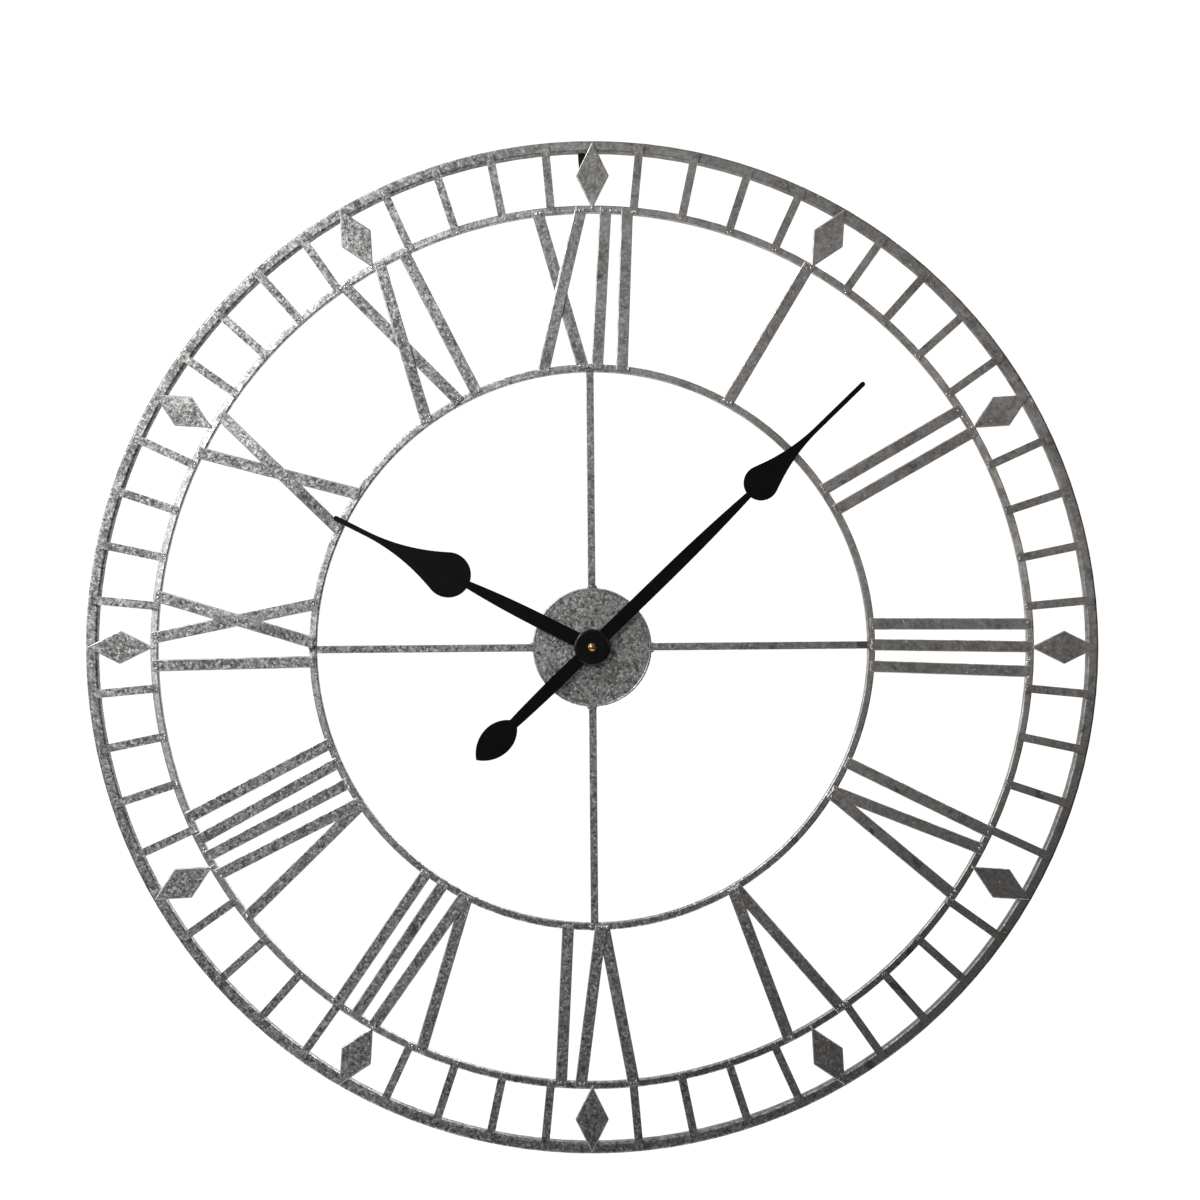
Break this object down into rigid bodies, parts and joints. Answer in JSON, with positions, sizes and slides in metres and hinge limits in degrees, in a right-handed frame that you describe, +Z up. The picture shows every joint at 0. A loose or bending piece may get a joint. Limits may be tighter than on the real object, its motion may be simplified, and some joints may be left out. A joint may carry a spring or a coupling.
{
  "type": "wall clock",
  "caption": "Large round open-frame metal wall clock with concentric rings, open Roman numerals, lozenge hour marks, spade hands and a quartz movement in a central can.",
  "frame": {"origin": "where the axis of the hands meets the wall, in the plane of the can's rear rim", "axes": "+Z up through 12 o'clock; the wall is the plane Y = 0 and the clock faces -Y; 3 o'clock is +X"},
  "size_m": [0.7999, 0.04, 0.8],
  "materials": {
    "zinc_steel": "mottled galvanised zinc, darkened patina",
    "black_paint": "matte black paint",
    "black_hands": "satin black",
    "black_boss": "semi-gloss black",
    "brass": "polished",
    "rubber": "matte",
    "black_plastic": "fine moulded texture",
    "acetal": "natural moulded acetal",
    "acetal_black": "moulded, ribbed",
    "spring_steel": "plain sheet",
    "crystal_can": "drawn can",
    "battery_sleeve": "printed foil, plain",
    "board": "solder mask",
    "resin": "epoxy drop",
    "copper_wire": "enamelled wire",
    "magnet": "bonded magnet and plastic pinion"
  },
  "bodies": {
    "frame": {"outer_ring": "zinc_steel", "middle_ring": "zinc_steel", "inner_ring": "zinc_steel", "spokes": "zinc_steel", "minute_bars": "zinc_steel", "hour_lozenges": "zinc_steel", "numeral_01": "zinc_steel", "numeral_02": "zinc_steel", "numeral_03": "zinc_steel", "numeral_04": "zinc_steel", "numeral_05": "zinc_steel", "numeral_06": "zinc_steel", "numeral_07": "zinc_steel", "numeral_08": "zinc_steel", "numeral_09": "zinc_steel", "numeral_10": "zinc_steel", "numeral_11": "zinc_steel", "numeral_12": "zinc_steel", "hub_drum": "zinc_steel", "hub_plate": "zinc_steel", "hanger_plate": "black_paint", "rubber_washer": "rubber", "brass_washer": "brass", "hex_nut": "brass", "threaded_bush": "brass", "movement_case": "black_plastic", "movement_cover": "black_plastic", "battery_contacts": "spring_steel", "circuit_board": "board", "circuit_chip": "resin", "quartz_crystal": "crystal_can", "stator": "spring_steel", "coil_bobbin": "acetal", "coil_winding": "copper_wire"},
    "minute_hand": {"minute_arbor": "brass", "minute_hand": "black_hands", "minute_hand_boss": "black_boss", "cap_nut": "brass"},
    "hour_hand": {"hour_wheel": "acetal", "hour_hand_collet": "brass", "hour_hand": "black_hands"},
    "setting_wheel": {"minute_wheel": "acetal", "set_knob": "acetal_black"},
    "seconds_wheel": {"seconds_wheel": "acetal"},
    "third_wheel": {"third_wheel": "acetal"},
    "centre_wheel": {"centre_wheel": "acetal"},
    "step_wheel": {"step_wheel": "acetal"},
    "rotor": {"rotor": "magnet"},
    "battery": {"battery": "battery_sleeve"}
  },
  "joints": [
    {"name": "minute_hand_turn", "type": "hinge", "parent": "frame", "child": "minute_hand", "pos_m": [0, 0, 0], "axis": [0, 1, 0], "continuous": true},
    {"name": "hour_hand_turn", "type": "hinge", "parent": "frame", "child": "hour_hand", "pos_m": [0, 0, 0], "axis": [0, 1, 0], "continuous": true},
    {"name": "setting_wheel_turn", "type": "hinge", "parent": "frame", "child": "setting_wheel", "pos_m": [-0.0105, 0, 0], "axis": [0, 1, 0], "continuous": true},
    {"name": "seconds_wheel_turn", "type": "hinge", "parent": "frame", "child": "seconds_wheel", "pos_m": [0, 0, 0], "axis": [0, 1, 0], "continuous": true},
    {"name": "third_wheel_turn", "type": "hinge", "parent": "frame", "child": "third_wheel", "pos_m": [0.0096, 0, 0], "axis": [0, 1, 0], "continuous": true},
    {"name": "centre_wheel_turn", "type": "hinge", "parent": "frame", "child": "centre_wheel", "pos_m": [0, 0, 0], "axis": [0, 1, 0], "continuous": true},
    {"name": "step_wheel_turn", "type": "hinge", "parent": "frame", "child": "step_wheel", "pos_m": [0, 0, 0.007], "axis": [0, 1, 0], "continuous": true},
    {"name": "rotor_turn", "type": "hinge", "parent": "frame", "child": "rotor", "pos_m": [0, 0, 0.013], "axis": [0, 1, 0], "continuous": true},
    {"name": "battery_slide", "type": "slide", "parent": "frame", "child": "battery", "axis": [0, 1, 0], "range_m": [0, 0.025]}
  ],
  "couplings": [
    {"joint": "hour_hand_turn", "follows": "minute_hand_turn", "ratio": 0.083333},
    {"joint": "setting_wheel_turn", "follows": "minute_hand_turn", "ratio": -0.33333},
    {"joint": "third_wheel_turn", "follows": "seconds_wheel_turn", "ratio": -0.13333},
    {"joint": "centre_wheel_turn", "follows": "seconds_wheel_turn", "ratio": 0.016667},
    {"joint": "step_wheel_turn", "follows": "seconds_wheel_turn", "ratio": -6},
    {"joint": "rotor_turn", "follows": "seconds_wheel_turn", "ratio": 30}
  ]
}
